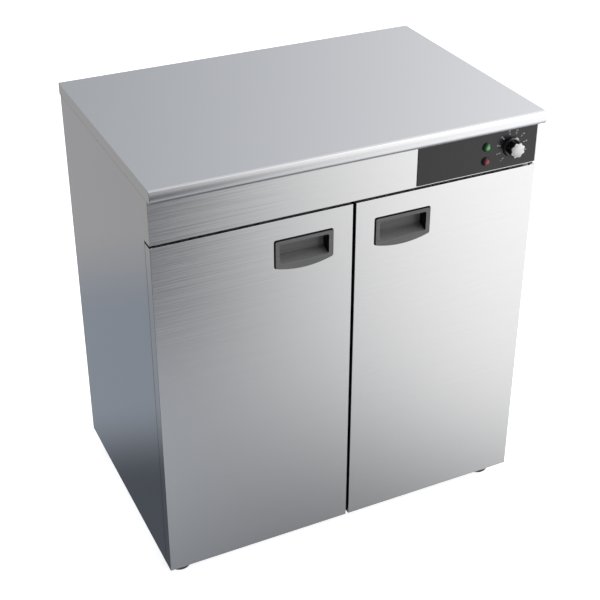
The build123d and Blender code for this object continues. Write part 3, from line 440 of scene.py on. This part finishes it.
slotFinish = {
    "liner_steel": "linerSteel", "galvanised_steel": "galvanised",
    "charcoal_panel": "charcoalPanel", "handle_plastic": "handlePlastic", "knob_black": "knobBlack",
    "knob_silver": "knobSilver", "green_lens": "greenLens", "red_lens": "redLens", "lamp_black": "lampBlack",
    "seal_rubber": "sealRubber", "foot_rubber": "footRubber", "mineral_wool": "mineralWool",
    "element_steel": "elementSteel", "brass": "brass", "copper": "copper", "zinc_steel": "zincSteel",
    "terminal_white": "terminalWhite", "wire_jacket": "wireJacket", "gland_nylon": "glandNylon",
}
nodeFinish = {"top_panel": "topSteel", "left_side_panel": "sideSteel", "right_side_panel": "sideSteel"}


def dressNodes():
    for part in frame["record"]["subparts"]:
        name, slot = part["node"], part["material_slot"]
        finish = nodeFinish.get(name) or slotFinish.get(slot, "frontSteel")
        mesh = nodes[name].data
        if not mesh.materials:
            mesh.materials.append(finishes[finish])
        for index in range(len(mesh.materials)):
            mesh.materials[index] = finishes[finish]


dressNodes()
print("nodes dressed")


# shape helpers
def standing(middle, way, turn=0.0):
    tilt = Vector((0, 0, 1)).rotation_difference(way).to_matrix().to_4x4()
    return Matrix.Translation(middle) @ tilt @ Matrix.Rotation(turn, 4, "Z")


def joined(bm, shape, place=Matrix()):
    bmesh.ops.remove_doubles(shape, verts=shape.verts, dist=weld)
    bmesh.ops.transform(shape, matrix=place, verts=shape.verts)
    bmesh.ops.recalc_face_normals(shape, faces=shape.faces)
    mesh = bpy.data.meshes.new("shape")
    shape.to_mesh(mesh)
    shape.free()
    bm.from_mesh(mesh)
    bpy.data.meshes.remove(mesh)


def settled(name, bm, finish, body="cabinet", gone=(), sharp=38):
    mesh = bpy.data.meshes.new(name)
    bm.to_mesh(mesh)
    bm.free()
    mesh.polygons.foreach_set("use_smooth", [True] * len(mesh.polygons))
    mesh.set_sharp_from_angle(angle=radians(sharp))
    mesh.materials.append(finishes[finish])
    piece = bpy.data.objects.new(name, mesh)
    scene.collection.objects.link(piece)
    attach(piece, body)
    if gone:
        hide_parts(*gone)


def rounded(bm, offset, segments=2, least=30):
    shared = [edge for edge in bm.edges if len(edge.link_faces) == 2]
    edges = [edge for edge in shared if edge.calc_face_angle() > radians(least)]
    bmesh.ops.bevel(bm, geom=edges, offset=offset, segments=segments, profile=0.5, affect="EDGES",
                    material=-1, clamp_overlap=True)


def turned(outline, steps, closed=False):
    bm = bmesh.new()
    verts = [bm.verts.new((radius, 0, rise)) for radius, rise in outline]
    edges = [bm.edges.new(pair) for pair in zip(verts, verts[1:])]
    if closed:
        edges.append(bm.edges.new((verts[-1], verts[0])))
    bmesh.ops.spin(bm, geom=verts + edges, cent=(0, 0, 0), axis=(0, 0, 1), angle=tau, steps=steps,
                   use_merge=True)
    bmesh.ops.remove_doubles(bm, verts=bm.verts, dist=weld)
    bmesh.ops.recalc_face_normals(bm, faces=bm.faces)
    return bm


def block(low, high):
    bm = bmesh.new()
    bmesh.ops.create_cube(bm, size=1)
    low, high = Vector(low), Vector(high)
    bmesh.ops.scale(bm, vec=high - low, verts=bm.verts)
    bmesh.ops.translate(bm, vec=(low + high) / 2, verts=bm.verts)
    return bm


def vertsOf(things):
    return [thing for thing in things if isinstance(thing, bmesh.types.BMVert)]


def openEdges(bm):
    return [edge for edge in bm.edges if len(edge.link_faces) == 1]


def raised(bm, faces, rise):
    made = bmesh.ops.extrude_face_region(bm, geom=faces)["geom"]
    bmesh.ops.translate(bm, vec=(0, 0, rise), verts=vertsOf(made))
    bmesh.ops.delete(bm, geom=faces, context="FACES_KEEP_BOUNDARY")


# thermostat knob: sloping skirt, lobed grip and a bright lobed cap
knob = {"lobes": 8, "stepsPerLobe": 16, "cutter": 7.0 * mm, "dip": 2.1 * mm, "gripRadius": 15.6 * mm,
        "gripSunk": 0.2 * mm, "skirtRise": 4.0 * mm, "slope": 2.9 * mm, "rim": 1.0 * mm,
        "skirtEdge": 0.4 * mm, "skirtSteps": 72, "capEdge": 0.5 * mm, "capLeast": 60}


def lobedDisc(radius, rise, thick):
    bm = bmesh.new()
    bmesh.ops.create_circle(bm, cap_ends=True, segments=knob["lobes"] * knob["stepsPerLobe"],
                            radius=radius)
    reach = radius + knob["cutter"] - knob["dip"]
    pitch = tau / knob["lobes"]
    for vert in bm.verts:
        swing = atan2(vert.co.y, vert.co.x)
        swing = abs(swing - round(swing / pitch) * pitch)
        spread = knob["cutter"] ** 2 - (reach * sin(swing)) ** 2
        if spread > 0:
            vert.co *= min(1, (reach * cos(swing) - sqrt(spread)) / radius)
    bmesh.ops.translate(bm, vec=(0, 0, rise), verts=bm.verts)
    raised(bm, bm.faces[:], thick)
    bmesh.ops.contextual_create(bm, geom=openEdges(bm))
    bmesh.ops.recalc_face_normals(bm, faces=bm.faces)
    return bm


def buildKnob():
    gripLow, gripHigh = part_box("knob_grip")
    capLow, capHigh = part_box("knob_cap")
    middle = Vector(((gripLow.x + gripHigh.x) / 2, gripHigh.y, (gripLow.z + gripHigh.z) / 2))
    place = standing(middle, toFront)
    skirtRadius = (gripHigh.x - gripLow.x) / 2
    gripEnd = gripHigh.y - gripLow.y
    capRadius = (capHigh.x - capLow.x) / 2
    capThick = capHigh.y - capLow.y
    bm = bmesh.new()
    skirtRise = knob["skirtRise"]
    skirt = turned([(0, 0), (skirtRadius, 0), (skirtRadius, knob["rim"]),
                    (skirtRadius - knob["slope"], skirtRise), (0, skirtRise)], knob["skirtSteps"])
    rounded(skirt, knob["skirtEdge"])
    joined(bm, skirt, place)
    gripStart = skirtRise - knob["gripSunk"]
    gripThick = gripEnd - skirtRise + knob["gripSunk"]
    joined(bm, lobedDisc(knob["gripRadius"], gripStart, gripThick), place)
    settled("knobBody", bm, "knobBlack", "knob", ["knob_grip"])
    bm = bmesh.new()
    cap = lobedDisc(capRadius, gripEnd, capThick)
    rounded(cap, knob["capEdge"], least=knob["capLeast"])
    joined(bm, cap, place)
    settled("knobCap", bm, "knobSilver", "knob", ["knob_cap"])


# dial: nine marks round the knob with plain numbers
dial = {"start": 228, "step": 31, "numbers": (0, 20, 30, 40, 50, 60, 70, 80, 90), "inner": 26.6 * mm,
        "outer": 30.0 * mm, "width": 1.1 * mm, "paint": 0.12 * mm, "numberRing": 34.0 * mm,
        "numberSize": 4.4 * mm, "curveSteps": 3}


def numberMesh(text, size, thick):
    curve = bpy.data.curves.new("number", "FONT")
    curve.body = text
    curve.size = size
    curve.extrude = thick / 2
    curve.resolution_u = dial["curveSteps"]
    curve.align_x = "CENTER"
    curve.align_y = "CENTER"
    holder = bpy.data.objects.new("number", curve)
    scene.collection.objects.link(holder)
    shape = bmesh.new()
    mesh = bpy.data.meshes.new_from_object(holder)
    shape.from_mesh(mesh)
    bpy.data.objects.remove(holder)
    bpy.data.curves.remove(curve)
    bpy.data.meshes.remove(mesh)
    return shape


def buildDial():
    gripLow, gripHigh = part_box("knob_grip")
    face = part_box("control_panel")[0].y
    middle = Vector(((gripLow.x + gripHigh.x) / 2, face, (gripLow.z + gripHigh.z) / 2))
    upright = Matrix.Rotation(radians(90), 4, "X")
    half = dial["width"] / 2
    bm = bmesh.new()
    for count, number in enumerate(dial["numbers"]):
        swing = radians(dial["start"] - count * dial["step"])
        mark = block((dial["inner"], -half, 0), (dial["outer"], half, dial["paint"]))
        joined(bm, mark, Matrix.Translation(middle) @ upright @ Matrix.Rotation(swing, 4, "Z"))
        ring = dial["numberRing"]
        offset = Matrix.Translation((ring * cos(swing), ring * sin(swing), dial["paint"] / 2))
        joined(bm, numberMesh(str(number), dial["numberSize"], dial["paint"]),
               Matrix.Translation(middle) @ upright @ offset)
    settled("dialMarks", bm, "dialWhite")


buildKnob()
buildDial()
print("knob and dial built")

# pilot lamps: a rounded bezel ring and a domed lens
lamp = {"ring": 0.9 * mm, "ringRise": 0.6 * mm, "ringGap": 0.05 * mm, "ringEdge": 0.35 * mm, "rim": 1.2 * mm,
        "steps": 8, "turnSteps": 40}


def buildLamp(colour):
    low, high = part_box(f"{colour}_lamp_lens")
    radius = (high.x - low.x) / 2
    middle = Vector(((low.x + high.x) / 2, high.y, (low.z + high.z) / 2))
    dome = high.y - low.y - lamp["rim"]
    ball = (radius ** 2 + dome ** 2) / (2 * dome)
    widest = asin(radius / ball)
    outline = [(0, 0), (radius, 0)]
    for step in range(lamp["steps"] + 1):
        swing = widest * (1 - step / lamp["steps"])
        outline.append((ball * sin(swing), lamp["rim"] + dome - ball * (1 - cos(swing))))
    bm = bmesh.new()
    joined(bm, turned(outline, lamp["turnSteps"]), standing(middle, toFront))
    settled(f"{colour}Lens", bm, f"{colour}Lens", gone=[f"{colour}_lamp_lens"])
    bm = bmesh.new()
    inner, outer = radius + lamp["ringGap"], radius + lamp["ring"]
    ring = turned([(inner, 0), (outer, 0), (outer, lamp["ringRise"]), (inner, lamp["ringRise"])],
                  lamp["turnSteps"], closed=True)
    rounded(ring, lamp["ringEdge"])
    joined(bm, ring, standing(middle, toFront))
    settled(f"{colour}Bezel", bm, "lampBlack")


buildLamp("green")
buildLamp("red")
print("lamps built")

# handle shadow ring: a thin black rubber ring between each handle's lip and the door, standing in for the
# shadow line round the lip
handleShadowRing = {"proud": 0.8 * mm, "under": 1.0 * mm, "thick": 0.6 * mm, "behind": 0.05 * mm, "flat": 0.999}


def buildHandleSeal(side):
    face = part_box(f"{side}_door_skin")[0].y
    bm = bmesh.new()
    bm.from_mesh(nodes[f"{side}_door_handle"].data)
    bmesh.ops.remove_doubles(bm, verts=bm.verts, dist=weld)
    behind = [vert for vert in bm.verts if vert.co.y > face + handleShadowRing["behind"]]
    bmesh.ops.delete(bm, geom=behind, context="VERTS")
    bmesh.ops.delete(bm, geom=bm.faces[:], context="FACES_ONLY")
    hull = bmesh.ops.convex_hull(bm, input=bm.verts[:])
    bmesh.ops.delete(bm, geom=vertsOf(hull["geom_interior"]), context="VERTS")
    bmesh.ops.recalc_face_normals(bm, faces=bm.faces)
    others = [patch for patch in bm.faces if patch.normal.y < handleShadowRing["flat"]]
    bmesh.ops.delete(bm, geom=others, context="FACES")
    bmesh.ops.dissolve_faces(bm, faces=bm.faces[:])
    low = Vector(min(vert.co[k] for vert in bm.verts) for k in range(3))
    high = Vector(max(vert.co[k] for vert in bm.verts) for k in range(3))
    wide = high - low
    spread = Vector((1 + 2 * handleShadowRing["proud"] / wide.x, 1, 1 + 2 * handleShadowRing["proud"] / wide.z))
    bmesh.ops.scale(bm, vec=spread, space=Matrix.Translation(-(low + high) / 2), verts=bm.verts)
    inner = bm.faces[:]
    bmesh.ops.inset_region(bm, faces=inner, thickness=handleShadowRing["proud"] + handleShadowRing["under"],
                           use_boundary=True)
    bmesh.ops.delete(bm, geom=inner, context="FACES")
    bmesh.ops.solidify(bm, geom=bm.faces[:], thickness=handleShadowRing["thick"])
    bmesh.ops.recalc_face_normals(bm, faces=bm.faces)
    back = max(vert.co.y for vert in bm.verts)
    bmesh.ops.translate(bm, vec=(0, face - back, 0), verts=bm.verts)
    # the ring is a dark sheet for the painted shadow round the handle's lip
    settled(f"{side}HandleShadowRing", bm, "sealRubber", f"{side}_door")


buildHandleSeal("left")
buildHandleSeal("right")
print("handle seals laid")

# pan-head screws with a cross recess: the back panel's, and the lower hinge brackets'
panHead = {"radius": 3.6 * mm, "rise": 2.0 * mm, "edge": 1.1 * mm, "power": 3, "cells": 7, "armCells": 5,
           "centreShare": 0.6, "slack": 0.05, "recess": 0.9 * mm, "turn": 20}


def screwHead():
    bm = bmesh.new()
    cells = panHead["cells"]
    bmesh.ops.create_grid(bm, x_segments=cells, y_segments=cells, size=panHead["radius"])
    for vert in bm.verts:
        reach = max(abs(vert.co.x), abs(vert.co.y))
        if reach > panHead["centreShare"] * panHead["radius"]:
            vert.co = vert.co.normalized() * reach
        share = vert.co.length / panHead["radius"]
        vert.co.z = panHead["rise"] - panHead["edge"] * share ** panHead["power"]
    slotHalf = panHead["radius"] / cells * (1 + panHead["slack"])
    armEnd = panHead["radius"] * panHead["armCells"] / cells * (1 - panHead["slack"])
    cross = []
    for face in bm.faces:
        centre = face.calc_center_median()
        near, far = sorted((abs(centre.x), abs(centre.y)))
        if near < slotHalf and far < armEnd:
            cross.append(face)
    inner = bmesh.ops.extrude_face_region(bm, geom=cross)["geom"]
    bmesh.ops.delete(bm, geom=cross, context="FACES_ONLY")
    bmesh.ops.translate(bm, vec=(0, 0, -panHead["recess"]), verts=vertsOf(inner))
    skirt = bmesh.ops.extrude_edge_only(bm, edges=openEdges(bm))["geom"]
    for vert in vertsOf(skirt):
        vert.co.z = 0
    bmesh.ops.contextual_create(bm, geom=openEdges(bm))
    return bm


def solidBoxes(node):
    bm = bmesh.new()
    bm.from_mesh(nodes[node].data)
    bmesh.ops.remove_doubles(bm, verts=bm.verts, dist=weld)
    left = set(bm.verts)
    boxes = []
    while left:
        heap = [left.pop()]
        island = []
        while heap:
            vert = heap.pop()
            island.append(vert.co.copy())
            for edge in vert.link_edges:
                other = edge.other_vert(vert)
                if other in left:
                    left.remove(other)
                    heap.append(other)
        low = Vector(min(co[k] for co in island) for k in range(3))
        high = Vector(max(co[k] for co in island) for k in range(3))
        boxes.append((low, high))
    bm.free()
    return sorted(boxes, key=lambda box: tuple(round(value, 4) for value in box[0]))


def buildScrews():
    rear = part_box("back_panel")[1].y
    turn = radians(panHead["turn"])
    bm = bmesh.new()
    for low, high in solidBoxes("casing_screws"):
        middle = (low + high) / 2
        wide = high - low
        if wide.y > wide.z:
            place = standing((middle.x, rear, middle.z), toRear, turn)
        else:
            place = standing((middle.x, middle.y, low.z + panHead["rise"]), toFloor, turn)
        joined(bm, screwHead(), place)
    settled("casingScrews", bm, "zincSteel", gone=["casing_screws"])


buildScrews()
print("screws built")

# feet: a rounded pad with a waisted, ribbed neck round the stem
footShape = {"pad": 9.0 * mm, "sole": 1.4 * mm, "padEdge": (1.5 * mm, 2 * mm), "waist": (1 * mm, 3 * mm),
             "neck": 16.0 * mm, "top": 14.6 * mm, "bore": 5.3 * mm, "round": 0.5 * mm, "least": 25,
             "steps": 48, "ribs": 16, "ribWide": 1.6 * mm, "ribProud": 0.8 * mm, "ribSunk": 1.6 * mm,
             "ribShort": 6 * mm}


def buildFeet():
    for name in ("foot_front_left", "foot_front_right", "foot_rear_left", "foot_rear_right"):
        low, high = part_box(name)
        radius = (high.x - low.x) / 2
        middle = Vector(((low.x + high.x) / 2, (low.y + high.y) / 2, 0))
        pad, neck, sole, bore = (footShape[key] for key in ("pad", "neck", "sole", "bore"))
        drop, inward = footShape["padEdge"]
        flare, rise = footShape["waist"]
        half = footShape["ribWide"] / 2
        bm = bmesh.new()
        body = turned([(0, 0), (radius - sole, 0), (radius, sole), (radius, pad - drop),
                       (radius - inward, pad), (neck + flare, pad + flare), (neck, pad + rise),
                       (footShape["top"], high.z), (bore, high.z), (bore, pad), (0, pad)],
                      footShape["steps"])
        rounded(body, footShape["round"], least=footShape["least"])
        joined(bm, body, Matrix.Translation(middle))
        for count in range(footShape["ribs"]):
            rib = block((neck - footShape["ribSunk"], -half, pad + flare),
                        (neck + footShape["ribProud"], half, high.z - footShape["ribShort"]))
            swing = Matrix.Rotation(tau * count / footShape["ribs"], 4, "Z")
            joined(bm, rib, Matrix.Translation(middle) @ swing)
        title = "".join(word.capitalize() for word in name.split("_")[1:])
        settled("foot" + title, bm, "footRubber", gone=[name])


buildFeet()
print("feet built")

# cable gland: grip ribs round the dome nut
gland = {"domeRadius": 11.2 * mm, "ribs": 20, "ribWide": 1.3 * mm, "ribProud": 0.7 * mm, "ribSunk": 0.8 * mm,
         "ribStart": 7.6 * mm, "ribEnd": 13.2 * mm, "ribEdge": 0.25 * mm}


def buildGland():
    low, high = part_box("cable_gland")
    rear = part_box("back_panel")[1].y
    middle = Vector(((low.x + high.x) / 2, rear, (low.z + high.z) / 2))
    place = standing(middle, toRear)
    bm = bmesh.new()
    for count in range(gland["ribs"]):
        rib = block((gland["domeRadius"] - gland["ribSunk"], -gland["ribWide"] / 2, gland["ribStart"]),
                    (gland["domeRadius"] + gland["ribProud"], gland["ribWide"] / 2, gland["ribEnd"]))
        rounded(rib, gland["ribEdge"], 1)
        joined(bm, rib, place @ Matrix.Rotation(tau * count / gland["ribs"], 4, "Z"))
    settled("glandRibs", bm, "glandNylon")


buildGland()
print("gland built")

# shadow strip: a thin dark strip under the worktop's side and rear flanges, standing in for the shadow line
# beneath them
shadowStrip = {"high": 0.9 * mm, "proud": 1.0 * mm}


def buildBead():
    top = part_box("top_panel")[0].z
    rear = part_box("back_panel")[1].y
    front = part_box("front_fascia")[0].y
    half = -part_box("left_side_panel")[0].x
    bm = bmesh.new()
    for side in (-1, 1):
        ends = sorted((side * half, side * (half + shadowStrip["proud"])))
        joined(bm, block((ends[0], front, top - shadowStrip["high"]), (ends[1], rear + shadowStrip["proud"], top)))
    joined(bm, block((-half, rear, top - shadowStrip["high"]), (half, rear + shadowStrip["proud"], top)))
    settled("worktopShadowStrip", bm, "shadowStripGrey")


buildBead()
print("sealant laid")
